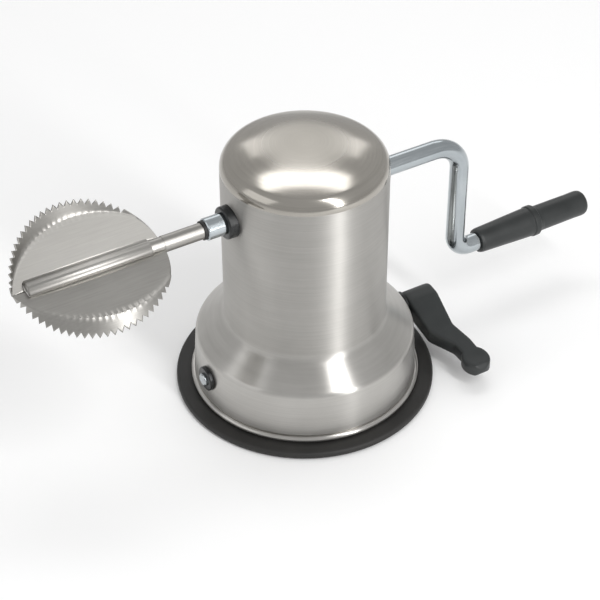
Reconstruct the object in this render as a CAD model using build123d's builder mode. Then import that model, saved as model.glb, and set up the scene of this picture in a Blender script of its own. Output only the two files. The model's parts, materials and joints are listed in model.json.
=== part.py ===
from build123d import *
import math
import os

# Hand-cranked rotary coconut scraper on a lever-operated suction base.
# Millimetres. +X runs along the blade shaft towards the crank, -Y is the side the
# cook stands at, +Z is up. The origin is the centre of the rubber pad's flat underside.

# --- driving dimensions -----------------------------------------------------------
# drawn steel body
BODY_R = 37.0            # outside radius of the upright cylinder
BODY_TOP = 131.0         # height of the crown's middle
CROWN_R = 85.0           # radius of the shallow crown
KNUCKLE_R = 7.5          # radius between crown and cylinder
NECK_Z = 39.2            # where the cylinder meets the cone
SHOULDER_R = 50.3        # where the cone meets the skirt
SHOULDER_Z = 28.4
SKIRT_R = 51.6           # outside radius at the skirt's foot
SKIRT_Z = 5.0            # height of the skirt's foot
NECK_FILLET = 5.0
SHOULDER_FILLET = 4.0
WALL = 1.0               # sheet thickness
BEAD_R = 1.4             # rolled edge, section radius

# rubber pad
PAD_R = 60.0             # overall radius
PAD_RIM = 3.5            # thickness under the bead
PAD_MEMBRANE = 2.2       # thickness of the part that lifts
PAD_RIM_IN_R = 46.0      # inner radius of the thick rim
PAD_HUB_R = 12.5
PAD_HUB_Z = 5.0
PAD_EDGE = 1.5           # rounding of the rim

# crank, shaft and grip
SHAFT_Z = 102.0          # height of the turning axis
ROD_R = 4.4              # crank rod
ROD_END_X = -49.6        # end of the rod on the blade side
ARM_X = 82.2             # middle of the hanging arm
ARM_DROP = 62.2          # from the shaft's axis to the grip's axis
TOP_BEND_R = 15.0        # middle-line radius of the upper bend
LOW_BEND_R = 8.0         # middle-line radius of the lower bend
SHOULDER_X = 93.3        # where the rod is turned down for the grip
GRIP_LENGTH = 63.1
SPIGOT_R = 2.4           # turned end that carries the grip

# blade
BLADE_SHAFT_R = 3.7      # shaft between collar and blade
BLADE_SEAT_R = 3.5       # shaft where the stampings clasp it
TANG_R = 2.5             # end that plugs into the rod
TANG_DEPTH = 12.0
BLADE_X = -103.7         # middle of the round blade
BLADE_R = 34.0           # its radius before the rim is bent
CREASE_R = 40.5          # radius of the crease that the crescent rim is bent along
CREASE_OFFSET = 15.0     # from the blade's middle to the crease's centre
CREASE_AT = 105.0        # degrees from the body end to the rim's widest place
RIM_BEND = 50.0          # degrees out of the flat
SHEET = 0.6              # blade sheet thickness
REAR_TILT = 24.0         # degrees that the rear wing rises above the level
FRONT_TILT = 13.4        # degrees that the front wing drops below the level
TOOTH_PITCH = 3.5
TOOTH_DEPTH = 2.1        # measured along the bent rim
TEETH_FROM = 0.08        # share of the rim's arc that is left plain at the body end
TEETH_TO = 0.97
SHAFT_REACH = 28.0       # from the blade's middle to the end of its shaft
CLASP_GAP = 14.0         # degrees left open between one clasp and the other wing

# shaft bearings in the body's wall
BEARING_R = 7.4          # black boss outside the wall
FRONT_BOSS = 4.0         # its thickness on the blade side
REAR_BOSS = 3.0          # and on the crank side
SHANK_R = 6.0            # threaded shank through the wall
SHANK_IN = 6.0           # how far the shank reaches inside the body's outer radius
NUT_R = 9.0
NUT_T = 3.0

# lever, spindle and cam
SPINDLE_Z = 18.5
SPINDLE_R = 3.0
SPINDLE_PROUD = 1.3      # bright end beyond the left bush
BUSH_R = 5.8             # bush flange outside the skirt
BUSH_SHANK_R = 4.4
BUSH_FLANGE = 1.8
LEVER_HUB_R = 5.0
LEVER_WIDTH = 16.4       # along the spindle
LEVER_TIP_Y = -46.0      # middle of the finger pad
LEVER_TIP_OUT = 2.8      # how far the finger pad stands out from the hub's middle
LEVER_TIP_R = 6.3
LEVER_TIP_TOP = 14.2     # height of the finger pad's upper face
LEVER_TIP_T = 6.0        # its thickness
LEVER_NECK = 8.6         # narrowest width of the arm
LEVER_WAIST = 3.0        # how far its outer edge is drawn in at the knee
CAM_START = 5.5          # cam height under the cross-bar at rest
CAM_RISE = 1.0           # lift for each radian of lever travel
CAM_WIDTH = 8.0
LEVER_TRAVEL = 180.0     # degrees

# stirrup that lifts the pad
STIRRUP_GAP = 9.6        # from the spindle's axis to each strap
STIRRUP_T = 1.6
STIRRUP_WIDTH = 12.0
STUD_R = 2.5
STUD_HEAD_R = 7.0
STUD_HEAD_T = 1.5
STUD_NUT_T = 2.3

# clearances
RUNNING = 0.06           # radial, shafts in their bearings
SNUG = 0.04              # radial, pieces fixed on each other
END_PLAY = 0.3           # between faces that slide past each other
SEAT = 0.1               # between faces that stay put

SHELL_RIM_Z = PAD_RIM + BEAD_R
GRIP_Z = SHAFT_Z - ARM_DROP


def write(piece, label):
    piece.part.label = label
    export_step(piece.part, f"parts/{label}.step")


def across(x, z):
    """A plane square to the X axis at x, with its middle at height z."""
    return Plane(origin=(x, 0, z), x_dir=(0, 1, 0), z_dir=(1, 0, 0))


def ring(x, length, outer, inner, z):
    """A plain ring round an axis parallel to X, from x to x + length."""
    with BuildPart() as piece:
        with BuildSketch(across(x, z)):
            Circle(outer)
            Circle(inner, mode=Mode.SUBTRACT)
        extrude(amount=length)
    return piece


os.makedirs("parts", exist_ok=True)

# --- body shell -------------------------------------------------------------------
crown_centre_z = BODY_TOP - CROWN_R
knuckle_r_centre = BODY_R - KNUCKLE_R
knuckle_z = crown_centre_z + math.sqrt((CROWN_R - KNUCKLE_R) ** 2 - knuckle_r_centre ** 2)
tangent = CROWN_R / (CROWN_R - KNUCKLE_R)
crown_edge = (knuckle_r_centre * tangent, crown_centre_z + (knuckle_z - crown_centre_z) * tangent)

with BuildPart() as body_block:
    with BuildSketch(Plane.XZ) as half_outline:
        with BuildLine():
            Polyline((0, BODY_TOP), (0, SKIRT_Z), (SKIRT_R, SKIRT_Z), (SHOULDER_R, SHOULDER_Z),
                     (BODY_R, NECK_Z), (BODY_R, knuckle_z))
            RadiusArc((BODY_R, knuckle_z), crown_edge, -KNUCKLE_R)
            RadiusArc(crown_edge, (0, BODY_TOP), -CROWN_R)
        make_face()
        corners = half_outline.vertices()
        fillet(corners.sort_by_distance((SHOULDER_R, SHOULDER_Z))[0], SHOULDER_FILLET)
        fillet(half_outline.vertices().sort_by_distance((BODY_R, NECK_Z))[0], NECK_FILLET)
    revolve(axis=Axis.Z)

with BuildPart() as body_shell:
    add(body_block.part)
    offset(amount=-WALL, openings=body_shell.faces().filter_by(GeomType.PLANE).sort_by(Axis.Z)[0])
    with BuildSketch(Plane.XZ):
        with Locations((SKIRT_R, SHELL_RIM_Z)):
            Circle(BEAD_R)
    revolve(axis=Axis.Z)
    with BuildSketch(Plane.YZ):
        with Locations((0, SHAFT_Z)):
            Circle(SHANK_R + SNUG)
        with Locations((0, SPINDLE_Z)):
            Circle(BUSH_SHANK_R + SNUG)
    extrude(amount=PAD_R, both=True, mode=Mode.SUBTRACT)
write(body_shell, "body_shell")

# --- rubber pad and the stud moulded into it --------------------------------------
head_z = (PAD_HUB_Z - STUD_HEAD_T) / 2
plate_top = PAD_HUB_Z + STIRRUP_T
stud_top = plate_top + STUD_NUT_T

with BuildPart() as suction_pad:
    with BuildSketch(Plane.XZ) as pad_outline:
        with BuildLine():
            Polyline((0, 0), (PAD_R, 0), (PAD_R, PAD_RIM), (PAD_RIM_IN_R, PAD_RIM),
                     (PAD_RIM_IN_R - 1.5, PAD_MEMBRANE), (PAD_HUB_R + 1.5, PAD_MEMBRANE),
                     (PAD_HUB_R, PAD_HUB_Z), (0, PAD_HUB_Z), close=True)
        make_face()
        fillet(pad_outline.vertices().sort_by_distance((PAD_R, PAD_RIM))[0], PAD_EDGE)
    revolve(axis=Axis.Z)
    with BuildSketch(Plane.XY.offset(head_z - SNUG)):
        Circle(STUD_HEAD_R + SNUG)
    extrude(amount=STUD_HEAD_T + 2 * SNUG, mode=Mode.SUBTRACT)
    with BuildSketch(Plane.XY.offset(head_z)):
        Circle(STUD_R + SNUG)
    extrude(amount=PAD_HUB_Z, mode=Mode.SUBTRACT)
write(suction_pad, "suction_pad")

with BuildPart() as pad_stud:
    with BuildSketch(Plane.XY.offset(head_z)):
        Circle(STUD_HEAD_R)
    extrude(amount=STUD_HEAD_T)
    with BuildSketch(Plane.XY.offset(head_z)):
        Circle(STUD_R)
    extrude(amount=stud_top - head_z)
write(pad_stud, "pad_stud")

with BuildPart() as stud_nut:
    with BuildSketch(Plane.XY.offset(plate_top)):
        RegularPolygon(radius=2 * STUD_R - 0.5, side_count=6)
        Circle(STUD_R + SNUG, mode=Mode.SUBTRACT)
    extrude(amount=STUD_NUT_T)
write(stud_nut, "stud_nut")

# --- stirrup, spindle, cam and lever ----------------------------------------------
bar_z = SPINDLE_Z + CAM_START + SEAT
with BuildPart() as lift_stirrup:
    with BuildSketch(Plane.YZ):
        with Locations((0, (bar_z + PAD_HUB_Z + STIRRUP_T) / 2)):
            Rectangle(2 * (STIRRUP_GAP + STIRRUP_T), bar_z + STIRRUP_T - PAD_HUB_Z)
        with Locations((0, (bar_z + PAD_HUB_Z + STIRRUP_T) / 2)):
            Rectangle(2 * STIRRUP_GAP, bar_z - PAD_HUB_Z - STIRRUP_T, mode=Mode.SUBTRACT)
    extrude(amount=STIRRUP_WIDTH / 2, both=True)
    with BuildSketch(Plane.XY.offset(PAD_HUB_Z)):
        Circle(STUD_R + SNUG)
    extrude(amount=STIRRUP_T, mode=Mode.SUBTRACT)
write(lift_stirrup, "lift_stirrup")


def skirt_radius(z):
    """Outside radius of the tapered skirt at height z."""
    return SKIRT_R + (SHOULDER_R - SKIRT_R) * (z - SKIRT_Z) / (SHOULDER_Z - SKIRT_Z)


bush_face = skirt_radius(SPINDLE_Z) + BUSH_FLANGE
lip_x = skirt_radius(SPINDLE_Z + BUSH_R) - WALL - BUSH_FLANGE
WASHER_T = 1.2
lever_x = bush_face + END_PLAY + WASHER_T + SEAT
clip_x = lip_x - BUSH_FLANGE - END_PLAY
CLIP_T = 1.0
CLIP_GROOVE = 0.7
PIN_R = 1.25
SCREW_R = 1.9


def spindle_bush(side):
    """Snap-in bush: a flange shaped to the skirt, a shank and a lip inside the wall."""
    out = Plane(origin=(0, 0, SPINDLE_Z), x_dir=(0, side, 0), z_dir=(side, 0, 0))
    with BuildPart() as bush:
        with BuildSketch(out.offset(lip_x)):
            Circle(BUSH_R)
        extrude(amount=bush_face - lip_x)
        fillet(bush.faces().sort_by(Axis.X)[0 if side < 0 else -1].edges(), BUSH_FLANGE / 3)
        add(body_block.part, mode=Mode.SUBTRACT)
        with BuildSketch(out.offset(lip_x - BUSH_FLANGE)):
            Circle(BUSH_SHANK_R)
        extrude(amount=bush_face - lip_x + BUSH_FLANGE / 2)
        with BuildSketch(out.offset(lip_x - BUSH_FLANGE)):
            Circle(BUSH_SHANK_R + CLIP_GROOVE)
        extrude(amount=BUSH_FLANGE)
        with BuildSketch(out):
            Circle(SPINDLE_R + RUNNING)
        extrude(amount=PAD_R, mode=Mode.SUBTRACT)
    return bush


write(spindle_bush(-1), "spindle_bush_left")
write(spindle_bush(1), "spindle_bush_right")

with BuildPart() as cam_spindle:
    with BuildSketch(across(-bush_face - SPINDLE_PROUD, SPINDLE_Z)):
        Circle(SPINDLE_R)
    extrude(amount=bush_face + SPINDLE_PROUD + lever_x + LEVER_WIDTH - 3)
    chamfer(cam_spindle.edges().filter_by(GeomType.CIRCLE), 0.5)
    for side in (-1, 1):
        with BuildSketch(across(side * (clip_x - CLIP_T / 2) - CLIP_T / 2 - SEAT, SPINDLE_Z)):
            Circle(SPINDLE_R + 1)
            Circle(SPINDLE_R - CLIP_GROOVE, mode=Mode.SUBTRACT)
        extrude(amount=CLIP_T + 2 * SEAT, mode=Mode.SUBTRACT)
    with BuildSketch(Plane.XZ):
        with Locations((0, SPINDLE_Z)):
            Circle(PIN_R + SNUG)
    extrude(amount=2 * SPINDLE_R, both=True, mode=Mode.SUBTRACT)
    with BuildSketch(Plane.XZ.offset(-SPINDLE_R / 2)):
        with Locations((lever_x + LEVER_WIDTH / 2, SPINDLE_Z)):
            Circle(SCREW_R + SNUG)
    extrude(amount=-SPINDLE_R, mode=Mode.SUBTRACT)
write(cam_spindle, "cam_spindle")

with BuildPart() as spindle_clips:
    for side in (-1, 1):
        with BuildSketch(across(side * (clip_x - CLIP_T / 2) - CLIP_T / 2, SPINDLE_Z)):
            Circle(SPINDLE_R + 2)
            Circle(SPINDLE_R - CLIP_GROOVE + SNUG, mode=Mode.SUBTRACT)
        extrude(amount=CLIP_T)
write(spindle_clips, "spindle_clips")
write(ring(bush_face + END_PLAY, WASHER_T, BUSH_R, SPINDLE_R + SNUG, SPINDLE_Z), "spindle_washer")


def cam_point(turn):
    """Point on the cam whose flat-follower height grows by CAM_RISE for each radian.

    A height h(a) along the direction a puts the contact at h along a and h' across it,
    which for a straight-line h is the involute of a circle of radius CAM_RISE."""
    a = math.radians(90 + turn)
    h = CAM_START + CAM_RISE * math.radians(turn)
    return (h * math.cos(a) - CAM_RISE * math.sin(a),
            SPINDLE_Z + h * math.sin(a) + CAM_RISE * math.cos(a))


CAM_OVERRUN = 10.0
cam_turns = [-CAM_OVERRUN + i * (LEVER_TRAVEL + 2 * CAM_OVERRUN) / 16 for i in range(17)]
with BuildPart() as lift_cam:
    with BuildSketch(Plane.YZ):
        with BuildLine():
            Spline(*[cam_point(t) for t in cam_turns])
            ThreePointArc(cam_point(cam_turns[-1]), (CAM_START - 0.3, SPINDLE_Z - 1.5),
                          cam_point(cam_turns[0]))
        make_face()
        with Locations((0, SPINDLE_Z)):
            Circle(SPINDLE_R + SNUG, mode=Mode.SUBTRACT)
    extrude(amount=CAM_WIDTH / 2, both=True)
    with BuildSketch(Plane.XZ):
        with Locations((0, SPINDLE_Z)):
            Circle(PIN_R + SNUG)
    extrude(amount=STIRRUP_GAP, both=True, mode=Mode.SUBTRACT)
write(lift_cam, "lift_cam")

with BuildPart() as cam_pin:
    with BuildSketch(Plane.XZ):
        with Locations((0, SPINDLE_Z)):
            Circle(PIN_R)
    extrude(amount=CAM_START - 1, both=True)
write(cam_pin, "cam_pin")

lever_mid_x = lever_x + LEVER_WIDTH / 2
tip_x = lever_mid_x + LEVER_TIP_OUT
knee_x = lever_x + LEVER_WIDTH - LEVER_WAIST
knee_y = LEVER_TIP_Y / 2
with BuildPart() as vacuum_lever:
    with BuildSketch(across(lever_x, 0)) as side_view:
        with BuildLine():
            top = Polyline((LEVER_HUB_R, SPINDLE_Z), (1.0, SPINDLE_Z + LEVER_HUB_R),
                           (-5.0, SPINDLE_Z + LEVER_HUB_R - 0.6),
                           (knee_y, LEVER_TIP_TOP + 3.0), (LEVER_TIP_Y, LEVER_TIP_TOP),
                           (LEVER_TIP_Y - LEVER_TIP_R, LEVER_TIP_TOP - 0.6))
            Polyline(top @ 1, (LEVER_TIP_Y - LEVER_TIP_R, LEVER_TIP_TOP - LEVER_TIP_T),
                     (LEVER_TIP_Y, LEVER_TIP_TOP - LEVER_TIP_T), (knee_y, LEVER_TIP_TOP - 4.6),
                     (0, SPINDLE_Z - LEVER_HUB_R), top @ 0)
        make_face()
        with Locations((0, SPINDLE_Z)):
            Circle(LEVER_HUB_R)
    extrude(amount=LEVER_WIDTH + LEVER_TIP_OUT + LEVER_TIP_R)
    with BuildSketch(Plane.XY) as plan_view:
        with BuildLine():
            Polyline((lever_x, LEVER_HUB_R + 2), (lever_x + LEVER_WIDTH, LEVER_HUB_R + 2),
                     (lever_x + LEVER_WIDTH, -LEVER_HUB_R), (knee_x, knee_y), (lever_x, knee_y),
                     close=True)
        make_face()
        with BuildLine():
            Polyline((lever_x, knee_y), (knee_x, knee_y),
                     (tip_x + LEVER_NECK / 2, (knee_y + LEVER_TIP_Y) / 2),
                     (tip_x + LEVER_NECK / 2, LEVER_TIP_Y), (tip_x - LEVER_NECK / 2, LEVER_TIP_Y),
                     (tip_x - LEVER_NECK / 2 - 0.5, (knee_y + LEVER_TIP_Y) / 2), close=True)
        make_face()
        with Locations((tip_x, LEVER_TIP_Y)):
            Circle(LEVER_TIP_R)
    extrude(amount=BODY_R, mode=Mode.INTERSECT)
    with BuildSketch(across(lever_x, SPINDLE_Z)):
        Circle(SPINDLE_R + SNUG)
    extrude(amount=LEVER_WIDTH - 3 + SEAT, mode=Mode.SUBTRACT)
    with BuildSketch(Plane.XZ):
        with Locations((lever_mid_x, SPINDLE_Z)):
            Circle(SCREW_R + SNUG)
    extrude(amount=-LEVER_HUB_R - 1, mode=Mode.SUBTRACT)
write(vacuum_lever, "vacuum_lever")

with BuildPart() as lever_screw:
    with BuildSketch(Plane.XZ.offset(-SPINDLE_R / 2 - SEAT)):
        with Locations((lever_mid_x, SPINDLE_Z)):
            Circle(SCREW_R)
    extrude(amount=SPINDLE_R / 2 + SEAT - LEVER_HUB_R + 0.4)
    with BuildSketch(Plane.XZ.offset(-LEVER_HUB_R + 0.4)):
        with Locations((lever_mid_x, SPINDLE_Z)):
            RegularPolygon(radius=1.1, side_count=6)
    extrude(amount=1.5, mode=Mode.SUBTRACT)
write(lever_screw, "lever_screw")

# --- shaft bearings ---------------------------------------------------------------
nut_seat = math.sqrt((BODY_R - WALL) ** 2 - NUT_R ** 2) - SEAT


def shaft_bearing(side, boss):
    """Moulded bearing: a boss shaped to the body outside, a threaded shank through the wall."""
    out = Plane(origin=(0, 0, SHAFT_Z), x_dir=(0, side, 0), z_dir=(side, 0, 0))
    with BuildPart() as bearing:
        with BuildSketch(out.offset(BODY_R - SHANK_IN)):
            Circle(BEARING_R)
        extrude(amount=SHANK_IN + boss)
        fillet(bearing.faces().sort_by(Axis.X)[0 if side < 0 else -1].edges(), boss / 4)
        add(body_block.part, mode=Mode.SUBTRACT)
        with BuildSketch(out.offset(BODY_R - SHANK_IN)):
            Circle(SHANK_R)
        extrude(amount=SHANK_IN + boss / 2)
        with BuildSketch(out):
            Circle(ROD_R + RUNNING)
        extrude(amount=PAD_R, mode=Mode.SUBTRACT)
    return bearing


def bearing_nut(side):
    """Slotted round nut that pulls the bearing against the wall from inside."""
    start = nut_seat - NUT_T if side > 0 else -nut_seat
    with BuildPart() as nut:
        with BuildSketch(across(start, SHAFT_Z)):
            Circle(NUT_R)
            Circle(SHANK_R + SNUG, mode=Mode.SUBTRACT)
            with PolarLocations(NUT_R, 4, start_angle=45):
                Rectangle(2.4, 2.4, mode=Mode.SUBTRACT)
        extrude(amount=NUT_T)
    return nut


write(shaft_bearing(-1, FRONT_BOSS), "front_bearing")
write(shaft_bearing(1, REAR_BOSS), "rear_bearing")
write(bearing_nut(-1), "front_bearing_nut")
write(bearing_nut(1), "rear_bearing_nut")

# --- crank rod --------------------------------------------------------------------
thrust_x = BODY_R - SHANK_IN - END_PLAY
THRUST_T = 1.0
rod_clip_x = thrust_x - THRUST_T - SEAT
spigot_end = SHOULDER_X + GRIP_LENGTH - 6.5
GRIP_SCREW_R = 1.5
GRIP_SCREW_DEPTH = 12.0
blade_pin_x = ROD_END_X + 3.4

with BuildPart() as crank_rod:
    with BuildLine() as rod_line:
        upper = Line((ROD_END_X, 0, SHAFT_Z), (ARM_X - TOP_BEND_R, 0, SHAFT_Z))
        top_bend = TangentArc(upper @ 1, (ARM_X, 0, SHAFT_Z - TOP_BEND_R), tangent=upper % 1)
        arm = Line(top_bend @ 1, (ARM_X, 0, GRIP_Z + LOW_BEND_R))
        low_bend = TangentArc(arm @ 1, (ARM_X + LOW_BEND_R, 0, GRIP_Z), tangent=arm % 1)
        Line(low_bend @ 1, (SHOULDER_X, 0, GRIP_Z))
    with BuildSketch(across(ROD_END_X, SHAFT_Z)):
        Circle(ROD_R)
    sweep(path=rod_line.wires()[0])
    chamfer(crank_rod.faces().sort_by(Axis.X)[0].edges(), 0.5)
    with BuildSketch(across(SHOULDER_X, GRIP_Z)):
        Circle(SPIGOT_R)
    extrude(amount=spigot_end - SHOULDER_X)
    with BuildSketch(across(ROD_END_X, SHAFT_Z)):
        Circle(TANG_R + SNUG)
    extrude(amount=TANG_DEPTH, mode=Mode.SUBTRACT)
    with BuildSketch(across(spigot_end - GRIP_SCREW_DEPTH, GRIP_Z)):
        Circle(GRIP_SCREW_R + SNUG)
    extrude(amount=GRIP_SCREW_DEPTH, mode=Mode.SUBTRACT)
    with BuildSketch(Plane.XY.offset(SHAFT_Z)):
        with Locations((blade_pin_x, 0)):
            Circle(PIN_R + SNUG)
    extrude(amount=2 * ROD_R, both=True, mode=Mode.SUBTRACT)
    for side in (-1, 1):
        with BuildSketch(across(side * (rod_clip_x - CLIP_T / 2) - CLIP_T / 2 - SEAT, SHAFT_Z)):
            Circle(ROD_R + 1)
            Circle(ROD_R - CLIP_GROOVE, mode=Mode.SUBTRACT)
        extrude(amount=CLIP_T + 2 * SEAT, mode=Mode.SUBTRACT)
write(crank_rod, "crank_rod")

with BuildPart() as rod_clips:
    for side in (-1, 1):
        with BuildSketch(across(side * (rod_clip_x - CLIP_T / 2) - CLIP_T / 2, SHAFT_Z)):
            Circle(ROD_R + 2)
            Circle(ROD_R - CLIP_GROOVE + SNUG, mode=Mode.SUBTRACT)
        extrude(amount=CLIP_T)
write(rod_clips, "rod_clips")
write(ring(-thrust_x, THRUST_T, ROD_R + 3, ROD_R + SNUG, SHAFT_Z), "front_thrust_washer")
write(ring(thrust_x - THRUST_T, THRUST_T, ROD_R + 3, ROD_R + SNUG, SHAFT_Z), "rear_thrust_washer")

# --- collar, pin and seal ring at the blade end -----------------------------------
COLLAR_R = 5.0
SEAL_R = 4.3
SEAL_T = 1.3
collar_in_x = -(BODY_R + FRONT_BOSS + END_PLAY)
with BuildPart() as lock_collar:
    with BuildSketch(across(ROD_END_X, SHAFT_Z)):
        Circle(COLLAR_R)
    extrude(amount=collar_in_x - ROD_END_X)
    chamfer(lock_collar.edges().filter_by(GeomType.CIRCLE), 0.4)
    with BuildSketch(across(ROD_END_X, SHAFT_Z)):
        Circle(ROD_R + SNUG)
    extrude(amount=collar_in_x - ROD_END_X, mode=Mode.SUBTRACT)
write(lock_collar, "lock_collar")

with BuildPart() as blade_pin:
    with BuildSketch(Plane.XY.offset(SHAFT_Z)):
        with Locations((blade_pin_x, 0)):
            Circle(PIN_R)
    extrude(amount=ROD_R - 0.3, both=True)
write(blade_pin, "blade_pin")

seal_x = ROD_END_X - SEAT - SEAL_T
write(ring(seal_x, SEAL_T, SEAL_R, TANG_R + SNUG, SHAFT_Z), "seal_ring")

# --- blade ------------------------------------------------------------------------
shaft_tip_x = BLADE_X - SHAFT_REACH
seat_end_x = BLADE_X + BLADE_R + SEAT
with BuildPart() as blade_shaft:
    with BuildSketch(across(shaft_tip_x, SHAFT_Z)):
        Circle(BLADE_SEAT_R)
    extrude(amount=seat_end_x - shaft_tip_x)
    chamfer(blade_shaft.faces().sort_by(Axis.X)[0].edges(), 0.8)
    with BuildSketch(across(seat_end_x, SHAFT_Z)):
        Circle(BLADE_SHAFT_R)
    extrude(amount=seal_x - SEAT - seat_end_x)
    with BuildSketch(across(BLADE_X, SHAFT_Z)):
        Circle(TANG_R)
    extrude(amount=ROD_END_X + TANG_DEPTH - SEAT - BLADE_X)
    with BuildSketch(Plane.XY.offset(SHAFT_Z)):
        with Locations((blade_pin_x, 0)):
            Circle(PIN_R + SNUG)
    extrude(amount=2 * ROD_R, both=True, mode=Mode.SUBTRACT)
write(blade_shaft, "blade_shaft")

clasp_in = BLADE_SEAT_R + SNUG
clasp_out = clasp_in + SHEET
rim_bend = math.radians(RIM_BEND)
rim_width = BLADE_R - (CREASE_R - CREASE_OFFSET)
crease_half = math.degrees(math.acos((CREASE_R ** 2 - BLADE_R ** 2 - CREASE_OFFSET ** 2)
                                     / (2 * BLADE_R * CREASE_OFFSET)))
rim_slope = 1.2 * rim_width


def on_blade(radius, degrees):
    """Point of the blade's plane at a radius and angle round the blade's middle."""
    a = math.radians(degrees)
    return BLADE_X + radius * math.cos(a), radius * math.sin(a)


crease_x, crease_y = on_blade(-CREASE_OFFSET, CREASE_AT)
# One stamping in its own frame: shaft along X, wing towards +Y, rim bent towards +Z.
with BuildPart() as bent_rim:
    with BuildSketch(Plane(origin=(crease_x, crease_y, 0), x_dir=(1, 0, 0), z_dir=(0, -1, 0))):
        with BuildLine():
            Polyline((CREASE_R, 0),
                     (CREASE_R + rim_slope * math.cos(rim_bend), rim_slope * math.sin(rim_bend)),
                     (CREASE_R + rim_slope * math.cos(rim_bend) + SHEET * math.sin(rim_bend),
                      rim_slope * math.sin(rim_bend) - SHEET * math.cos(rim_bend)),
                     (CREASE_R + SHEET * math.tan(rim_bend / 2), -SHEET), (CREASE_R, -SHEET), close=True)
        make_face()
    revolve(axis=Axis((crease_x, crease_y, 0), (0, 0, 1)))
    with BuildSketch(Plane.XY):
        with BuildLine():
            outline = ThreePointArc(on_blade(BLADE_R, CREASE_AT - crease_half),
                                    on_blade(BLADE_R - rim_width * (1 - math.cos(rim_bend)), CREASE_AT),
                                    on_blade(BLADE_R, CREASE_AT + crease_half))
            Line(outline @ 1, outline @ 0)
        make_face()
    extrude(amount=rim_slope, both=True, mode=Mode.INTERSECT)

tooth_start = math.degrees(math.atan2(*reversed(tuple(outline @ TEETH_FROM - outline.arc_center)[:2])))
tooth_range = (TEETH_TO - TEETH_FROM) * math.degrees(outline.length / outline.radius)
tooth_count = round(math.radians(tooth_range) * outline.radius / TOOTH_PITCH)
tooth_depth = TOOTH_DEPTH * math.cos(rim_bend)
with BuildPart() as stamping:
    with BuildSketch(Plane.XY):
        with Locations((BLADE_X, 0)):
            Circle(BLADE_R)
        with Locations((crease_x, crease_y)):
            Circle(CREASE_R, mode=Mode.INTERSECT)
    extrude(amount=-SHEET)
    add(bent_rim.part)
    with BuildSketch(Plane.XY):
        with Locations((BLADE_X, RUNNING - BLADE_R)):
            Rectangle(3 * BLADE_R, 2 * BLADE_R)
        with Locations((shaft_tip_x - SEAT + BLADE_R, clasp_in - BLADE_R)):
            Rectangle(2 * BLADE_R, 2 * BLADE_R)
    extrude(amount=BLADE_R, both=True, mode=Mode.SUBTRACT)
    with BuildSketch(Plane.XY):
        with Locations(outline.arc_center):
            with PolarLocations(outline.radius, tooth_count, start_angle=tooth_start,
                                angular_range=tooth_range, endpoint=False):
                Polygon((1, -TOOTH_PITCH * 0.7), (1, TOOTH_PITCH * 0.7),
                        (-tooth_depth, 0), align=None)
    extrude(amount=rim_slope, both=True, mode=Mode.SUBTRACT)
    with BuildSketch(across(shaft_tip_x + SEAT, 0)):
        Circle(clasp_out)
        Circle(clasp_in, mode=Mode.SUBTRACT)
        with Locations((0, clasp_out)):
            Rectangle(4 * clasp_out, 2 * clasp_out, mode=Mode.SUBTRACT)
        Polygon((0, 0), (-3 * clasp_out, 0),
                (-3 * clasp_out, -3 * clasp_out * math.tan(math.radians(CLASP_GAP))),
                align=None, mode=Mode.SUBTRACT)
    extrude(amount=2 * SHAFT_REACH)

for turn, wing_name in ((REAR_TILT, "blade_wing_a"), (FRONT_TILT + 180, "blade_wing_b")):
    with BuildPart() as blade_wing:
        with Locations(Location((0, 0, SHAFT_Z), (turn, 0, 0))):
            add(stamping.part)
    write(blade_wing, wing_name)

# --- grip -------------------------------------------------------------------------
grip_x = SHOULDER_X + WASHER_T + END_PLAY
grip_end = grip_x + GRIP_LENGTH
RECESS_R = 3.7
HEAD_R = 3.45
with BuildPart() as handle_grip:
    with BuildSketch(Plane.XZ.offset(0)) as grip_outline:
        with BuildLine():
            Polyline((grip_x, GRIP_Z), (grip_x, GRIP_Z + 5.3), (grip_x + 1.2, GRIP_Z + 5.9),
                     (grip_x + 26, GRIP_Z + 7.0), (grip_x + 30.5, GRIP_Z + 7.0),
                     (grip_x + 31, GRIP_Z + 7.6), (grip_x + 33.4, GRIP_Z + 7.6),
                     (grip_x + 34.4, GRIP_Z + 6.5), (grip_end - 6, GRIP_Z + 5.9),
                     (grip_end, GRIP_Z + 5.3), (grip_end, GRIP_Z), close=True)
        make_face()
        fillet(grip_outline.vertices().sort_by_distance((grip_end, GRIP_Z + 5.3))[0], 1.2)
    revolve(axis=Axis((0, 0, GRIP_Z), (1, 0, 0)))
    with BuildSketch(across(grip_x, GRIP_Z)):
        Circle(SPIGOT_R + RUNNING)
    extrude(amount=GRIP_LENGTH, mode=Mode.SUBTRACT)
    with BuildSketch(across(spigot_end - 2 * END_PLAY, GRIP_Z)):
        Circle(RECESS_R)
    extrude(amount=GRIP_LENGTH, mode=Mode.SUBTRACT)
write(handle_grip, "handle_grip")
write(ring(SHOULDER_X, WASHER_T, ROD_R, SPIGOT_R + SNUG, GRIP_Z), "grip_washer")

with BuildPart() as grip_screw:
    with BuildSketch(across(spigot_end, GRIP_Z)):
        Circle(HEAD_R)
    extrude(amount=2.2)
    fillet(grip_screw.faces().sort_by(Axis.X)[-1].edges(), 0.8)
    with BuildSketch(across(spigot_end + 1.0, GRIP_Z)):
        SlotOverall(5.4, 0.9, rotation=90)
    extrude(amount=2.2, mode=Mode.SUBTRACT)
    with BuildSketch(across(spigot_end - GRIP_SCREW_DEPTH + 1, GRIP_Z)):
        Circle(GRIP_SCREW_R)
    extrude(amount=GRIP_SCREW_DEPTH - 1)
write(grip_screw, "grip_screw")
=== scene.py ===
"""Looks for the hand-cranked rotary scraper: a drawn steel body on a rubber suction pad,
a bent crank rod with a turning grip, a toothed two-wing blade and a locking lever."""

import json
import math

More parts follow.
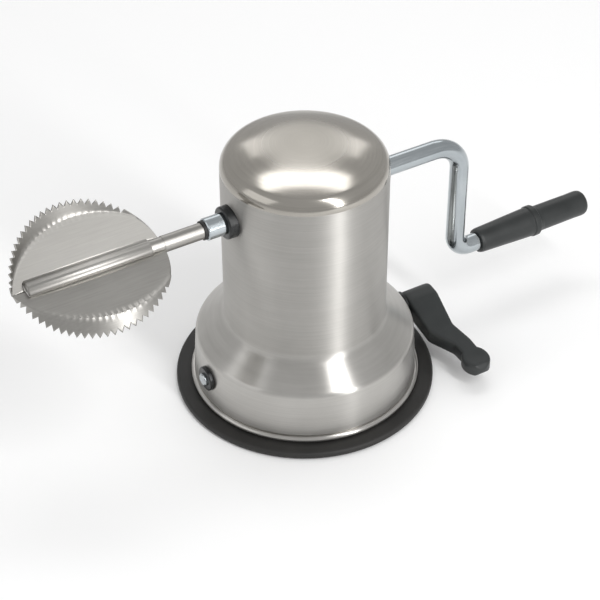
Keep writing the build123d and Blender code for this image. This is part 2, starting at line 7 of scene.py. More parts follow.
import bmesh
import bpy
import numpy as np
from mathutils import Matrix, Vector


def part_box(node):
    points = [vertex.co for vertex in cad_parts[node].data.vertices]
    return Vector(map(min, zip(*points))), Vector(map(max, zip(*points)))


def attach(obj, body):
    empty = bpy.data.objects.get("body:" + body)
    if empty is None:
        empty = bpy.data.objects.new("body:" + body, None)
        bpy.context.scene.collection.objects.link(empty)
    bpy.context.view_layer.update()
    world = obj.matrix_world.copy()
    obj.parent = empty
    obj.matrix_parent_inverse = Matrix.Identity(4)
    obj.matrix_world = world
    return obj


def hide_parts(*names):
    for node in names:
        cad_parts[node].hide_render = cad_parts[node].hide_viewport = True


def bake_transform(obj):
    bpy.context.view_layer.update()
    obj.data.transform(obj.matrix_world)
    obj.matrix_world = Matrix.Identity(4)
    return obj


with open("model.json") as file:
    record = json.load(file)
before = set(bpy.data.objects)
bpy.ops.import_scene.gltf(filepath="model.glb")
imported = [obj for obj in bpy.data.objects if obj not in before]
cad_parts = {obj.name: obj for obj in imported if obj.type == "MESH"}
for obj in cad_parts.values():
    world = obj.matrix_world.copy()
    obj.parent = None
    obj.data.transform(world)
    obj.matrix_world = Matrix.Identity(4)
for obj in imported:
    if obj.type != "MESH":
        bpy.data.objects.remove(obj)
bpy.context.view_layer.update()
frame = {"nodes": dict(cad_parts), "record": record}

MM = 0.001
TAU = 2 * math.pi


# --- places read from the frame ---------------------------------------------------
def span(node):
    """Lowest and highest corner of a CAD node in millimetres, as arrays."""
    low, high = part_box(node)
    return np.array(low) / MM, np.array(high) / MM


pad_high = span("suction_pad")[1]
body_high = span("body_shell")[1]
shaft_low, shaft_high = span("blade_shaft")
grip_low, grip_high = span("handle_grip")
lever_low, lever_high = span("vacuum_lever")
spindle_low, spindle_high = span("cam_spindle")
SHAFT_Z = (shaft_low[2] + shaft_high[2]) / 2
GRIP_Z = (grip_low[2] + grip_high[2]) / 2
SPINDLE_Z = (spindle_low[2] + spindle_high[2]) / 2


# --- mesh building ----------------------------------------------------------------
WELD = 1e-6              # metres within which two points are one
SLIVER = 1e-8            # metres under which an edge is a sliver


def mesh_piece(name, points, faces, sharp=40.0):
    """A mesh piece from points in millimetres: doubles welded, faces turned outwards,
    smooth, with edges kept crisp where two faces meet at more than sharp degrees."""
    mesh = bpy.data.meshes.new(name)
    mesh.from_pydata((np.asarray(points, float) * MM).tolist(), [],
                     np.asarray(faces).tolist())
    work = bmesh.new()
    work.from_mesh(mesh)
    bmesh.ops.remove_doubles(work, verts=work.verts, dist=WELD)
    bmesh.ops.dissolve_degenerate(work, edges=work.edges, dist=SLIVER)
    bmesh.ops.recalc_face_normals(work, faces=work.faces)
    work.to_mesh(mesh)
    work.free()
    mesh.polygons.foreach_set("use_smooth", np.ones(len(mesh.polygons), bool))
    mesh.set_sharp_from_angle(angle=math.radians(sharp))
    piece = bpy.data.objects.new(name, mesh)
    bpy.context.scene.collection.objects.link(piece)
    return piece


def grid_faces(rows, columns, wrap_rows=False, wrap_columns=True):
    """Quads of a rows by columns grid of points, as an array of four point numbers each."""
    i = np.arange(rows if wrap_rows else rows - 1)[:, None]
    j = np.arange(columns if wrap_columns else columns - 1)[None, :]
    i2, j2 = (i + 1) % rows, (j + 1) % columns
    corners = [i * columns + j, i * columns + j2, i2 * columns + j2, i2 * columns + j]
    return np.stack(corners, axis=-1).reshape(-1, 4)


def arc(centre, radius, start, end, steps):
    """Points of an arc in the profile plane, angles in degrees."""
    a = np.radians(np.linspace(start, end, steps))
    return np.stack([centre[0] + radius * np.cos(a), centre[1] + radius * np.sin(a)], axis=-1)


def rounded(corners, radii, steps=6):
    """A polyline whose inner corners are replaced by arcs: at each corner the arc is tangent
    to both runs, its tangent length is radius times tan of half the turn."""
    straight = 0.01      # radians: a corner that turns less than twice this stays sharp
    corners = np.asarray(corners, float)
    out = [corners[:1]]
    for k, radius in enumerate(radii, start=1):
        before, here, after = corners[k - 1], corners[k], corners[k + 1]
        u = (before - here) / np.linalg.norm(before - here)
        v = (after - here) / np.linalg.norm(after - here)
        half = math.acos(np.clip(u @ v, -1, 1)) / 2
        if radius <= 0 or half > math.pi / 2 - straight:
            out.append(here[None])
            continue
        reach = radius / math.tan(half)
        middle = here + (u + v) / np.linalg.norm(u + v) * radius / math.sin(half)
        p, q = here + u * reach - middle, here + v * reach - middle
        t = np.linspace(0, 1, steps)[:, None]
        turn = math.pi - 2 * half
        out.append(middle + (np.sin((1 - t) * turn) * p + np.sin(t * turn) * q) / math.sin(turn))
    out.append(corners[-1:])
    return np.concatenate(out)


def turned(name, profile, axis="z", centre=(0, 0), segments=192, **kw):
    """Surface of revolution: a closed profile (radius, height) carried round an axis.
    Point(i, j) = radius_i at angle 2 pi j / segments, at height_i along the axis."""
    profile = np.asarray(profile, float)
    a = np.arange(segments) * TAU / segments
    r, h = profile[:, :1], np.repeat(profile[:, 1:2], segments, axis=1)
    c, s = r * np.cos(a), r * np.sin(a)
    if axis == "z":
        points = np.stack([c, s, h], axis=-1)
    else:
        points = np.stack([h, c + centre[0], s + centre[1]], axis=-1)
    faces = grid_faces(len(profile), segments, wrap_rows=True)
    return mesh_piece(name, points.reshape(-1, 3), faces, **kw)


# --- materials --------------------------------------------------------------------
NOISE_LOW, NOISE_HIGH = 0.3, 0.7     # the share of a noise's range that is used
RING_DRIFT = 22.0                    # how slowly a ring's tone changes along it, per metre
METAL_CLOUD, POLYMER_CLOUD = 1000 / 45, 1000 / 70    # millimetres across a patch of tone
CLOUD_SHARE = 0.45                   # of the tone of metal, the rest is its lines
QUARTER_TURN = 0.25                  # turns the anisotropy across the brushed rings


def linear(hex_colour):
    """sRGB hex to linear colour with alpha."""
    raw = [int(hex_colour[i:i + 2], 16) / 255 for i in (1, 3, 5)]
    return tuple(c / 12.92 if c <= 0.04045 else ((c + 0.055) / 1.055) ** 2.4
                 for c in raw) + (1.0,)


def add(tree, kind, inputs=None, **settings):
    """Adds one node: settings are its own properties, inputs its socket values or links."""
    new = tree.nodes.new(kind)
    for name, value in settings.items():
        setattr(new, name, value)
    for socket, value in (inputs or {}).items():
        if isinstance(value, bpy.types.NodeSocket):
            tree.links.new(value, new.inputs[socket])
        else:
            new.inputs[socket].default_value = value
    return new


def material(name):
    """A new node material: its tree, its shader and the piece's own coordinates in metres."""
    made = bpy.data.materials.new(name)
    made.use_nodes = True
    tree = made.node_tree
    shader = tree.nodes["Principled BSDF"]
    where = add(tree, "ShaderNodeTexCoord").outputs["Object"]
    return made, tree, shader, where


def lines_along(tree, where, line, axis):
    """Coordinates squeezed so that noise becomes lines `line` mm apart across each axis."""
    return add(tree, "ShaderNodeMapping",
               {"Vector": where, "Scale": [1000 / line * a for a in axis]}).outputs[0]


def lines_around(tree, where, line):
    """Coordinates whose noise becomes rings round the Z axis, evenly spaced on wall and crown
    alike: the first one is height plus distance from the axis, in units of `line` mm."""
    height = add(tree, "ShaderNodeSeparateXYZ", {0: where}).outputs["Z"]
    flat = add(tree, "ShaderNodeVectorMath", {0: where, 1: (1, 1, 0)}, operation="MULTIPLY")
    reach = add(tree, "ShaderNodeVectorMath", {0: flat.outputs[0]}, operation="LENGTH")
    along = add(tree, "ShaderNodeMath", {0: height, 1: reach.outputs["Value"]},
                operation="ADD")
    scaled = add(tree, "ShaderNodeMath", {0: along.outputs[0], 1: 1000 / line},
                 operation="MULTIPLY")
    slow = add(tree, "ShaderNodeVectorMath",
               {0: flat.outputs[0], 1: (RING_DRIFT, RING_DRIFT, 0)}, operation="MULTIPLY")
    parts = add(tree, "ShaderNodeSeparateXYZ", {0: slow.outputs[0]})
    return add(tree, "ShaderNodeCombineXYZ",
               {"X": scaled.outputs[0], "Y": parts.outputs["X"],
                "Z": parts.outputs["Y"]}).outputs[0]


def cloudy(tree, shader, factor, light, dark, roughness, spread):
    """Colour between dark and light, and roughness within spread, both led by a noise factor.
    Returns the roughness node, so that a finish can change it by height."""
    tone = add(tree, "ShaderNodeValToRGB", {"Fac": factor})
    low, high = tone.color_ramp.elements
    low.position, high.position = NOISE_LOW, NOISE_HIGH
    low.color, high.color = linear(dark), linear(light)
    rough = add(tree, "ShaderNodeMapRange",
                {"Value": factor, "From Min": NOISE_LOW, "From Max": NOISE_HIGH,
                 "To Min": roughness - spread, "To Max": roughness + spread})
    tree.links.new(tone.outputs["Color"], shader.inputs["Base Color"])
    tree.links.new(rough.outputs[0], shader.inputs["Roughness"])
    return rough


def relief(tree, shader, height, strength, depth):
    """Surface grain: bump of depth mm."""
    bump = add(tree, "ShaderNodeBump",
               {"Height": height, "Strength": strength, "Distance": depth * MM})
    tree.links.new(bump.outputs[0], shader.inputs["Normal"])


def rougher_above(made, low, high, below, above):
    """Scales a finish's roughness by below under height low (metres), by above over high."""
    tree, shader, where, rough = made[1:]
    height = add(tree, "ShaderNodeSeparateXYZ", {0: where}).outputs["Z"]
    zones = add(tree, "ShaderNodeMapRange",
                {"Value": height, "From Min": low, "From Max": high,
                 "To Min": below, "To Max": above})
    zoned = add(tree, "ShaderNodeMath", {0: rough.outputs[0], 1: zones.outputs[0]},
                operation="MULTIPLY")
    tree.links.new(zoned.outputs[0], shader.inputs["Roughness"])
    return made[0]


def brushed_metal(name, light, dark, roughness, line=0.6, axis=None, depth=0.006, strength=0.2,
                  anisotropy=0.0, spread=0.05):
    """Sheet or bar finished with an abrasive belt: fine parallel lines that stretch every
    reflection across them. Real lines are about 0.1 mm apart; they are drawn `line` mm apart
    so that they show. Without an axis the lines run round Z, as on a part brushed on a lathe."""
    made, tree, shader, where = material(name)
    lines = lines_along(tree, where, line, axis) if axis else lines_around(tree, where, line)
    grain = add(tree, "ShaderNodeTexNoise",
                {"Vector": lines, "Scale": 1.0, "Detail": 4.0, "Roughness": 0.65})
    cloud = add(tree, "ShaderNodeTexNoise",
                {"Vector": where, "Scale": 1000 / METAL_CLOUD, "Detail": 3.0})
    blend = add(tree, "ShaderNodeMix",
                {"Factor": CLOUD_SHARE, 2: grain.outputs["Fac"], 3: cloud.outputs["Fac"]},
                data_type="FLOAT")
    rough = cloudy(tree, shader, blend.outputs[0], light, dark, roughness, spread)
    relief(tree, shader, grain.outputs["Fac"], strength, depth)
    shader.inputs["Metallic"].default_value = 1.0
    if anisotropy:
        shader.inputs["Anisotropic"].default_value = anisotropy
        shader.inputs["Anisotropic Rotation"].default_value = QUARTER_TURN
        along = add(tree, "ShaderNodeTangent", direction_type="RADIAL", axis="Z")
        tree.links.new(along.outputs[0], shader.inputs["Tangent"])
    return made, tree, shader, where, rough


def moulded(name, light, dark, roughness, grain=0.35, depth=0.03, ior=1.5, spread=0.06):
    """Moulded polymer: a spark-eroded grain `grain` mm across, faint cloudiness in the gloss."""
    made, tree, shader, where = material(name)
    fine = add(tree, "ShaderNodeTexNoise",
               {"Vector": where, "Scale": 1000 / grain, "Detail": 3.0})
    cloud = add(tree, "ShaderNodeTexNoise",
                {"Vector": where, "Scale": 1000 / POLYMER_CLOUD, "Detail": 4.0})
    cloudy(tree, shader, cloud.outputs["Fac"], light, dark, roughness, spread)
    relief(tree, shader, fine.outputs["Fac"], 0.5, depth)
    shader.inputs["IOR"].default_value = ior
    return made


# Drawn stainless wall, brushed on a lathe: grey, with reflections pulled out up and down.
# The cone keeps a smoother finish from the tool than the upright wall does.
wall_steel = rougher_above(brushed_metal(
    "brushed_stainless_wall", "#C5C3BF", "#B1AFAB", 0.47, line=0.5, anisotropy=0.9, spread=0.03),
    low=0.036, high=0.043, below=0.62, above=1.0)
# The crown is polished over the knuckle and satin on top: the same steel, without the pull. Its
# colours are darker and warmer than the wall's, which is painted shade.
crown_steel_painted_shade = rougher_above(brushed_metal(
    "satin_stainless_crown_painted_shade", "#B4B0A9", "#A39F98", 0.3, line=0.35, depth=0.002, strength=0.1,
    spread=0.02), low=0.1280, high=0.1306, below=0.55, above=1.5)
# Cold-rolled blade sheet: even satin grey, faint lengthwise rolling lines.
blade_steel = brushed_metal("rolled_stainless_blade", "#ADABA7", "#9A9894", 0.34, line=0.7,
                            axis=(0.04, 1.0, 1.0), depth=0.002, strength=0.12,
                            spread=0.03)[0]
# Bright zinc on drawn bar: bluish, nearly mirror, with drawing lines along the bar.
rod_plating = brushed_metal("bright_zinc_rod", "#C0C6C9", "#A2A9AD", 0.17, line=0.8,
                            axis=(0.05, 1.0, 0.05), depth=0.004, spread=0.04)[0]
# Zinc on turned fittings: bright, slightly cloudy.
plated_steel = brushed_metal("zinc_plated_fittings", "#BCC1C3", "#9DA2A5", 0.2, line=0.6,
                             axis=(1.0, 1.0, 1.0), depth=0.003)[0]
pad_rubber = moulded("black_nitrile_pad", "#262523", "#1B1A19", 0.58, grain=0.5, ior=1.52)
seal_rubber = moulded("black_seal_rubber", "#1E1E1E", "#161616", 0.5, grain=0.4, ior=1.52)
lever_plastic = moulded("charcoal_nylon_lever", "#2B2E2E", "#222525", 0.42)
grip_plastic = moulded("charcoal_nylon_grip", "#2A2D2D", "#202323", 0.4)
bearing_plastic = moulded("black_acetal_bearing", "#1B1D1E", "#131415", 0.28, ior=1.48)
FINISH = {"body_steel": wall_steel, "blade_steel": blade_steel, "rod_plating": rod_plating,
          "plated_steel": plated_steel, "pad_rubber": pad_rubber, "seal_rubber": seal_rubber,
          "lever_plastic": lever_plastic, "grip_plastic": grip_plastic,
          "bearing_plastic": bearing_plastic}


def dress(piece, slot, body=None, stands_for=(), finish=None):
    """Gives a piece its finish (the one given, else the one of its slot) and its body, and hides
    the CAD nodes that it stands for.
    """
    piece.data.materials.clear()
    piece.data.materials.append(finish or FINISH[slot])
    if body:
        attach(piece, body)
    if stands_for:
        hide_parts(*stands_for)
    return piece


SLOT_OF = {part["node"]: part["material_slot"] for part in frame["record"]["subparts"]}

# --- light, floor and camera ------------------------------------------------------
scene = bpy.context.scene
scene.view_settings.view_transform = "Standard"
world = bpy.data.worlds.new("studio")
scene.world = world
world.use_nodes = True
world.node_tree.nodes["Background"].inputs["Color"].default_value = (0.9, 0.9, 0.9, 1)
world.node_tree.nodes["Background"].inputs["Strength"].default_value = 0.66


def softbox(name, azimuth, elevation, distance, width, height, power, target=(0, 0, 70)):
    """A rectangular area light at an azimuth and elevation round the target, facing it.
    Returns the lamp's object."""
    a, e = math.radians(azimuth), math.radians(elevation)
    aim = Vector(target) * MM
    lamp = bpy.data.lights.new(name, "AREA")
    lamp.shape, lamp.size, lamp.size_y, lamp.energy = "RECTANGLE", width, height, power
    holder = bpy.data.objects.new(name, lamp)
    offset = Vector((math.cos(e) * math.cos(a), math.cos(e) * math.sin(a), math.sin(e)))
    holder.location = aim + offset * distance
    holder.rotation_euler = offset.to_track_quat("Z", "Y").to_euler()
    scene.collection.objects.link(holder)
    return holder


def only_lights(lamp, pieces):
    """Keeps a lamp's light off everything but the given pieces."""
    lit = bpy.data.collections.new(lamp.name + "_lights")
    for piece in pieces:
        lit.objects.link(piece)
    lamp.light_linking.receiver_collection = lit


overhead_back = softbox("overhead_back", 59.5, 68, 0.96, 0.8, 0.25, 1.75,
                        target=(0, 0, 131))
softbox("back_low", 59.5, 34, 1.4, 1.1, 0.5, 1.9)
overhead_right = softbox("overhead_right", -4, 71, 1.0, 0.3, 0.3, 0.58,
                         target=(-104, 0, 100))
softbox("strip_front", -77, 35, 1.0, 0.10, 1.15, 6)
softbox("left_fill", 175, 30, 1.3, 0.9, 0.8, 1.6)

REACH = 40.0             # metres from the middle of the floor to its edge
floor_mesh = bpy.data.meshes.new("floor")
floor_mesh.from_pydata([(-REACH, -REACH, 0), (REACH, -REACH, 0), (REACH, REACH, 0),
                        (-REACH, REACH, 0)], [], [(0, 1, 2, 3)])
floor = bpy.data.objects.new("floor", floor_mesh)
scene.collection.objects.link(floor)
floor_finish, floor_tree, floor_shader, _ = material("white_paper_floor")
floor_shader.inputs["Base Color"].default_value = linear("#FAFAFA")
floor_shader.inputs["Roughness"].default_value = 0.8
floor_mesh.materials.append(floor_finish)

CAMERA_AT = Vector((-0.3269, -0.5550, 0.5707))
LOOK_AT = Vector((0, 0, 0.060))
lens = bpy.data.cameras.new("camera")
lens.sensor_width = 36.0
lens.lens = 109.6
lens.shift_x, lens.shift_y = -0.0080, -0.0491
lens.clip_start = 0.01
camera = bpy.data.objects.new("camera", lens)
camera.location = CAMERA_AT
camera.rotation_euler = (CAMERA_AT - LOOK_AT).to_track_quat("Z", "Y").to_euler()
scene.collection.objects.link(camera)
scene.camera = camera

# --- CAD nodes that stay as they are ----------------------------------------------
for node, piece in frame["nodes"].items():
    finish = FINISH.get(SLOT_OF.get(node))
    layers = piece.data.materials
    if finish and not len(layers):
        layers.append(finish)
    elif finish:
        for index in range(len(layers)):
            layers[index] = finish

# --- drawn body -------------------------------------------------------------------
BODY_R, WALL = 37.0, 1.0
BODY_TOP = body_high[2]
CROWN_R, KNUCKLE_R = 85.0, 7.5
crown_mid = BODY_TOP - CROWN_R
knuckle_r = BODY_R - KNUCKLE_R
knuckle_z = crown_mid + math.sqrt((CROWN_R - KNUCKLE_R) ** 2 - knuckle_r ** 2)
crown_tilt = math.degrees(math.asin(knuckle_r / (CROWN_R - KNUCKLE_R)))
BEAD_R, BEAD_Z, FOOT_R = 1.4, 4.9, 51.6
ROUND = 256              # segments round a large turned piece


def offset_inward(profile, distance):
    """The same profile moved square to itself by distance: left of its run when positive,
    and never past the axis."""
    along = np.gradient(profile, axis=0)
    along /= np.linalg.norm(along, axis=1, keepdims=True)
    moved = profile + distance * np.stack([along[:, 1], -along[:, 0]], axis=-1)
    return np.maximum(moved, [0.0, -np.inf])


outer_crown = np.concatenate([
    arc((knuckle_r, knuckle_z), KNUCKLE_R, 0, 90 - crown_tilt, 24)[:-1],
    arc((0, crown_mid), CROWN_R, 90 - crown_tilt, 90, 40)])
inner_crown = offset_inward(outer_crown, -WALL)
crown = turned("steel_crown", np.concatenate([outer_crown, inner_crown[::-1]]),
               segments=ROUND, sharp=60)
dress(crown, "body_steel", "base", finish=crown_steel_painted_shade)

NECK_Z, SHOULDER_R, SHOULDER_Z = 39.2, 50.3, 28.4
outer_wall = rounded([(BODY_R, knuckle_z), (BODY_R, NECK_Z), (SHOULDER_R, SHOULDER_Z),
                      (51.5, 7.0), (51.0, 6.1)], [5.0, 4.0, 0.4], steps=14)
bead = arc((FOOT_R, BEAD_Z), BEAD_R, 115, -180, 28)
inner_wall = rounded([(49.9, 5.6), (49.4, 27.8), (BODY_R - WALL, NECK_Z - 0.4),
                      (BODY_R - WALL, knuckle_z)], [3.0, 5.5], steps=10)
wall = turned("steel_wall", np.concatenate([outer_wall, bead, inner_wall]),
              segments=ROUND, sharp=60)
dress(wall, "body_steel", "base", ("body_shell",))

# --- blade wings ------------------------------------------------------------------
BLADE_R = 34.0           # radius of the blank disc
CREASE_R = 40.5          # crease that the crescent rim is pressed up along
CREASE_OFFSET, CREASE_AT = 15.0, math.radians(105)
RIM_BEND = math.radians(50)
SHEET = 0.6
BEND_SOFTNESS = 0.5      # how far the bend at the crease is spread
TOOTH_PITCH, TOOTH_DEPTH = 3.5, 1.5  # the depth is measured in plan
TEETH = (math.radians(40), math.radians(173))
SEAT_R = 3.54            # inside of the clasp
CLASP_LENGTH = 55.8
RIB_HEIGHT = 0.34        # of the ribs along the clasp
DENT = 0.4               # how deep the crease is dented under a notch
SHAFT_REACH = 28.0       # from the tip of the shaft to the blade's middle
BLADE_X = shaft_low[0] + SHAFT_REACH
CREASE_MIDDLE = -CREASE_OFFSET * np.array([math.cos(CREASE_AT), math.sin(CREASE_AT)])


def reach_to(circle_middle, circle_r, angle):
    """Distance from the blade's middle, along each angle, to a circle round circle_middle:
    e.m + sqrt((e.m)^2 - |m|^2 + r^2), e being the direction of the angle."""
    e = np.stack([np.cos(angle), np.sin(angle)], axis=-1)
    along = e @ circle_middle
    under_root = along ** 2 - circle_middle @ circle_middle + circle_r ** 2
    return along + np.sqrt(np.maximum(under_root, 0))


def circle_through(p, q, r):
    """Middle and radius of the circle through three points of the plane."""
    p, q, r = (np.array(v, float) for v in (p, q, r))
    m = np.array([q - p, r - p]) * 2
    middle = np.linalg.solve(m, [q @ q - p @ p, r @ r - p @ p])
    return middle, np.linalg.norm(p - middle)


def polar(radius, angle):
    return radius * math.cos(angle), radius * math.sin(angle)


def wing(name, node, tilt):
    """Pressed sheet wing. A column stands at each angle round the blade's middle: it runs
    straight from the clasp line to the crease, then up the bent rim at RIM_BEND. The rim's
    edge is a triangle wave of TOOTH_PITCH between the tooth tips and the notches, and under
    each notch the crease is dented inwards, which fades out a third of the way up the rim."""
    rim_width = BLADE_R - (CREASE_R - CREASE_OFFSET)
    half = math.acos((CREASE_R ** 2 - BLADE_R ** 2 - CREASE_OFFSET ** 2)
                     / (2 * BLADE_R * CREASE_OFFSET))
    bent_reach = BLADE_R - rim_width * (1 - math.cos(RIM_BEND))
    rim_middle, rim_r = circle_through(polar(BLADE_R, CREASE_AT - half),
                                       polar(bent_reach, CREASE_AT),
                                       polar(BLADE_R, CREASE_AT + half))
    count = round((TEETH[1] - TEETH[0]) * BLADE_R / TOOTH_PITCH)
    start = math.asin(SEAT_R / BLADE_R)
    angle = np.concatenate([np.linspace(start, TEETH[0], 25)[:-1],
                            np.linspace(TEETH[0], TEETH[1], count * 8 + 1),
                            np.linspace(TEETH[1], math.pi - 0.003, 9)[1:]])
    phase = (angle - TEETH[0]) / (TEETH[1] - TEETH[0]) * count
    inside = (angle >= TEETH[0]) & (angle <= TEETH[1])
    notch = np.where(inside, np.abs(2 * (phase % 1) - 1), 0.0)
    crease = np.minimum(reach_to(CREASE_MIDDLE, CREASE_R, angle), BLADE_R)
    edge = np.minimum(reach_to(rim_middle, rim_r, angle), BLADE_R)
    share = np.clip((edge - crease) / 2.5, 0, 1)     # no dents where the rim is narrow
    plan = np.maximum(edge - crease - TOOTH_DEPTH * notch, 0.0)
    dent = DENT * notch * share
    direction = np.stack([np.cos(angle), np.sin(angle)], axis=-1)
    flat_rows = np.linspace(0, 1, 9)[:-1]
    rim_rows = np.linspace(0, 1, 9)
    foot_x = crease * direction[:, 0]
    past_clasp = foot_x < -CLASP_LENGTH / 2 - 0.3
    foot = np.stack([foot_x, np.where(past_clasp, 0.1, SEAT_R)], axis=-1)
    top = (crease - dent)[:, None] * direction
    flat = foot + flat_rows[:, None, None] * (top - foot)
    rise = rim_rows[:, None] * plan
    soft = BEND_SOFTNESS * np.tanh(rise / BEND_SOFTNESS)     # eases the bend at the crease
    height = np.maximum(rise - soft * 0.6, 0) * math.tan(RIM_BEND)
    out = rise - dent * np.clip(1 - 2.5 * rim_rows, 0, 1)[:, None] ** 2
    rim = (crease + out)[..., None] * direction
    points = np.concatenate([np.concatenate([flat, np.zeros(flat.shape[:2] + (1,))], axis=-1),
                             np.concatenate([rim, height[..., None]], axis=-1)])
    c, s = math.cos(tilt), math.sin(tilt)
    x, y, z = points[..., 0] + BLADE_X, points[..., 1], points[..., 2]
    placed = np.stack([x, y * c - z * s, y * s + z * c + SHAFT_Z], axis=-1)
    mesh = bpy.data.meshes.new(name)
    faces = grid_faces(len(points), len(angle), wrap_columns=False)[:, ::-1]
    mesh.from_pydata((placed.reshape(-1, 3) * MM).tolist(), [], faces.tolist())
    work = bmesh.new()
    work.from_mesh(mesh)
    bmesh.ops.remove_doubles(work, verts=work.verts, dist=2e-6)
    work.to_mesh(mesh)
    work.free()
    piece = bpy.data.objects.new(name, mesh)
    scene.collection.objects.link(piece)
    wanted = Vector((0, -s, c))
    flat_normal = max(mesh.polygons, key=lambda face: face.area).normal
    if flat_normal.dot(wanted) < 0:
        mesh.flip_normals()
    mesh.polygons.foreach_set("use_smooth", np.ones(len(mesh.polygons), bool))
    mesh.set_sharp_from_angle(angle=math.radians(28))
    thick = piece.modifiers.new("sheet", "SOLIDIFY")
    thick.thickness, thick.offset = SHEET * MM, -1.0
    return dress(piece, "blade_steel", "crank", (node,))


def clasp(name, tilt):
    """Half-round clasp of a wing round the shaft: a sheet from the wing's plane round its far
    side, carried along the shaft, its outside pressed into four shallow lengthwise ribs."""
    a = np.radians(np.linspace(0, -166, 57))
    fade = np.clip((a + math.radians(20)) / math.radians(-15), 0, 1)
    ribs = RIB_HEIGHT * (1 - np.cos(a * 9)) / 2 * fade
    outer = np.stack([np.cos(a), np.sin(a)], axis=-1) * (SEAT_R + SHEET - 0.02 + ribs)[:, None]
    inner = np.stack([np.cos(a), np.sin(a)], axis=-1)[::-1] * SEAT_R
    loop = np.concatenate([outer, inner])
    ends = np.array([-CLASP_LENGTH / 2, -CLASP_LENGTH / 2 + 0.3, CLASP_LENGTH / 2 - 0.3,
                     CLASP_LENGTH / 2])
    middle = (SEAT_R + SHEET / 2) * loop / np.linalg.norm(loop, axis=1, keepdims=True)
    shrink = np.array([0.75, 1, 1, 0.75])[:, None, None]
    rings = middle + (loop - middle) * shrink
    rings = np.concatenate([middle[None], rings, middle[None]])
    ends = np.concatenate([ends[:1], ends, ends[-1:]])
    c, s = math.cos(tilt), math.sin(tilt)
    y, z = rings[..., 0], rings[..., 1]
    x = np.repeat(ends[:, None] + BLADE_X, rings.shape[1], axis=1)
    points = np.stack([x, y * c - z * s, y * s + z * c + SHAFT_Z], axis=-1)
    piece = mesh_piece(name, points.reshape(-1, 3), grid_faces(*points.shape[:2]), sharp=50)
    return dress(piece, "blade_steel", "crank")


blade_pieces = []
for side, node, tilt in (("rear", "blade_wing_a", 24.0), ("front", "blade_wing_b", 193.4)):
    blade_pieces += [wing(f"wing_{side}", node, math.radians(tilt)),
                     clasp(f"clasp_{side}", math.radians(tilt))]

# --- grip -------------------------------------------------------------------------
x0, x1 = grip_low[0], grip_high[0]
GRIP_MAX = (grip_high[2] - grip_low[2]) / 2
grip_profile = rounded(
    [(2.5, x0 + 0.6), (4.3, x0), (5.6, x0 + 0.1), (6.0, x0 + 1.6), (7.1, x0 + 28.0),
     (7.1, x0 + 30.2), (GRIP_MAX, x0 + 30.8), (GRIP_MAX, x0 + 33.4), (6.7, x0 + 34.0),
     (6.3, x0 + 36.2), (6.2, x1 - 8.0), (6.3, x1 - 3.0), (5.8, x1), (3.9, x1), (3.9, x1 - 1.5),
     (3.7, x1 - 6.6), (2.5, x1 - 6.7), (2.5, x0 + 8)],
    [0.8, 0.6, 0.6, 1.0, 0.3, 0.5, 0.5, 0.4, 0.8, 3.0, 2.0, 2.2, 0.5, 0.3, 0.6, 0.2], steps=7)
grip = turned("moulded_grip", grip_profile, axis="x", centre=(0, GRIP_Z), segments=128,
              sharp=60)
dress(grip, "grip_plastic", "grip", ("handle_grip",))

# --- lever ------------------------------------------------------------------------
HUB_R = 5.0
TIP_R = 6.7
TIP_Y = lever_low[1] + TIP_R
KNEE_Y = TIP_Y / 2
LEVER_WIDTH = 16.4       # of the hub, along the spindle
LEVER_X0, HUB_X1 = lever_low[0], lever_low[0] + LEVER_WIDTH
LOOP = 64                # points round a section of the arm
TIP_X = lever_high[0] - TIP_R + 0.3


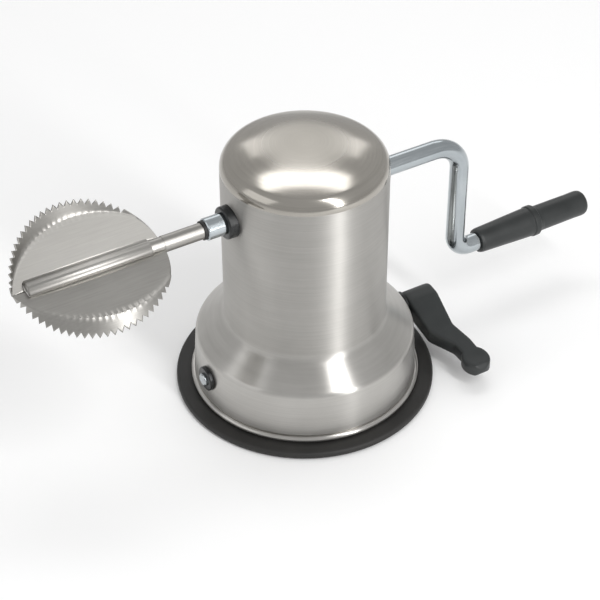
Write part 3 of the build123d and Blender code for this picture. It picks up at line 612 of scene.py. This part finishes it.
def lever_arm():
    """Moulded arm lofted along -Y. At each station its left and right edges and its top and
    bottom come from the plan and the side view, and the section between them is a rounded
    box, cos(a)^0.26 wide by sin(a)^0.38 high. The hub is round because its top and bottom
    are SPINDLE_Z plus and minus sqrt(HUB_R^2 - y^2)."""
    def squared(angle, power):
        """Cosine drawn towards plus and minus one, so that a circle becomes boxy."""
        return np.sign(np.cos(angle)) * np.abs(np.cos(angle)) ** power

    t = (1 - np.cos(np.linspace(0, math.pi, 131))) / 2
    y = HUB_R + t * (lever_low[1] - HUB_R)
    knots = np.array([lever_low[1], TIP_Y, KNEE_Y, -4.5, 0.0, HUB_R])
    top = np.interp(y, knots, [13.6, 14.4, 17.2, 22.9, 23.5, 23.5])
    low = np.interp(y, knots, [7.6, 7.8, 9.6, 12.7, 13.5, 13.5])
    left = np.interp(y, [TIP_Y, KNEE_Y - 11.5, KNEE_Y + 0.5, HUB_R],
                     [TIP_X - 4.3, TIP_X - 4.8, LEVER_X0, LEVER_X0])
    right = np.interp(y, [TIP_Y, KNEE_Y - 11.5, KNEE_Y, -HUB_R, HUB_R],
                      [TIP_X + 4.3, TIP_X + 4.3, HUB_X1 - 3.0, HUB_X1, HUB_X1])
    smooth = np.hanning(7) / np.hanning(7).sum()
    top, low, left, right = (np.convolve(np.pad(v, 3, mode="edge"), smooth, "valid")
                             for v in (top, low, left, right))
    disc = np.sqrt(np.maximum(TIP_R ** 2 - (y - TIP_Y) ** 2, 0))     # the round finger pad
    near_tip = y < TIP_Y + TIP_R
    left = np.where(near_tip, np.minimum(left, TIP_X - disc), left)
    right = np.where(near_tip, np.maximum(right, TIP_X + disc), right)
    beyond = y < TIP_Y
    left, right = np.where(beyond, TIP_X - disc, left), np.where(beyond, TIP_X + disc, right)
    hub = np.sqrt(np.maximum(HUB_R ** 2 - np.maximum(y, 0) ** 2, 0))
    behind = y > 0
    top, low = np.where(behind, SPINDLE_Z + hub, top), np.where(behind, SPINDLE_Z - hub, low)
    round_end = np.sqrt(np.clip((y - lever_low[1]) / 1.6, 0, 1))
    middle = (top + low) / 2
    half_t = (top - low) / 2 * np.where(beyond, np.maximum(round_end, 0.02), 1)
    a = (np.arange(LOOP) + 0.5) * TAU / LOOP
    u, v = squared(a, 0.26), squared(a - math.pi / 2, 0.38)
    x = (left + right)[:, None] / 2 + (right - left)[:, None] / 2 * u
    z = middle[:, None] + half_t[:, None] * v
    hollow = 0.5 * np.exp(-((y[:, None] - TIP_Y) / 4.0) ** 2)
    dish = hollow * np.clip(1 - np.abs(u), 0, 1) * (v > 0.9)
    points = np.stack([x, np.repeat(y[:, None], LOOP, axis=1), z - dish], axis=-1)
    first = points[:1].mean(axis=1, keepdims=True)
    last = points[-1:].mean(axis=1, keepdims=True)
    points = np.concatenate([np.repeat(first, LOOP, axis=1), points,
                             np.repeat(last, LOOP, axis=1)])
    return mesh_piece("moulded_lever", points.reshape(-1, 3), grid_faces(*points.shape[:2]),
                      sharp=50)


dress(lever_arm(), "lever_plastic", "lever", ("vacuum_lever",))

# --- suction pad ------------------------------------------------------------------
PAD_R, SPLIT_R = pad_high[0], 45.2   # the rim and the membrane meet at SPLIT_R
RIM_TOP = 3.5
rim_profile = rounded(
    [(SPLIT_R, 0.0), (PAD_R - 1.2, 0.0), (PAD_R, 0.9), (PAD_R, RIM_TOP),
     (PAD_R - 5.5, RIM_TOP), (52.6, 3.3), (46.0, RIM_TOP), (SPLIT_R, 2.2)],
    [0.8, 0.5, 1.4, 1.2, 0.6, 1.0], steps=6)
rim = turned("pad_rim", rim_profile, segments=ROUND, sharp=50)
dress(rim, "pad_rubber", "base", ("suction_pad",))
# The membrane and its boss: lifted in the middle, still under the rim.
BOSS_FOOT_R, MEMBRANE = 14.0, 2.2
membrane_r = np.linspace(SPLIT_R, BOSS_FOOT_R, 20)
underside = np.stack([membrane_r[-2::-1], np.zeros(19)], axis=-1)
upper_side = np.stack([membrane_r, np.full(20, MEMBRANE)], axis=-1)
membrane = np.concatenate([[(0.0, 0.3)], underside, upper_side,
                           [(12.9, 3.0), (12.5, 4.6), (12.1, 5.0), (0.0, 5.0)]])
middle = turned("pad_membrane", membrane, segments=128, sharp=50)
dress(middle, "pad_rubber")
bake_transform(middle)

only_lights(overhead_back, [crown, wall, floor])
only_lights(overhead_right, blade_pieces)
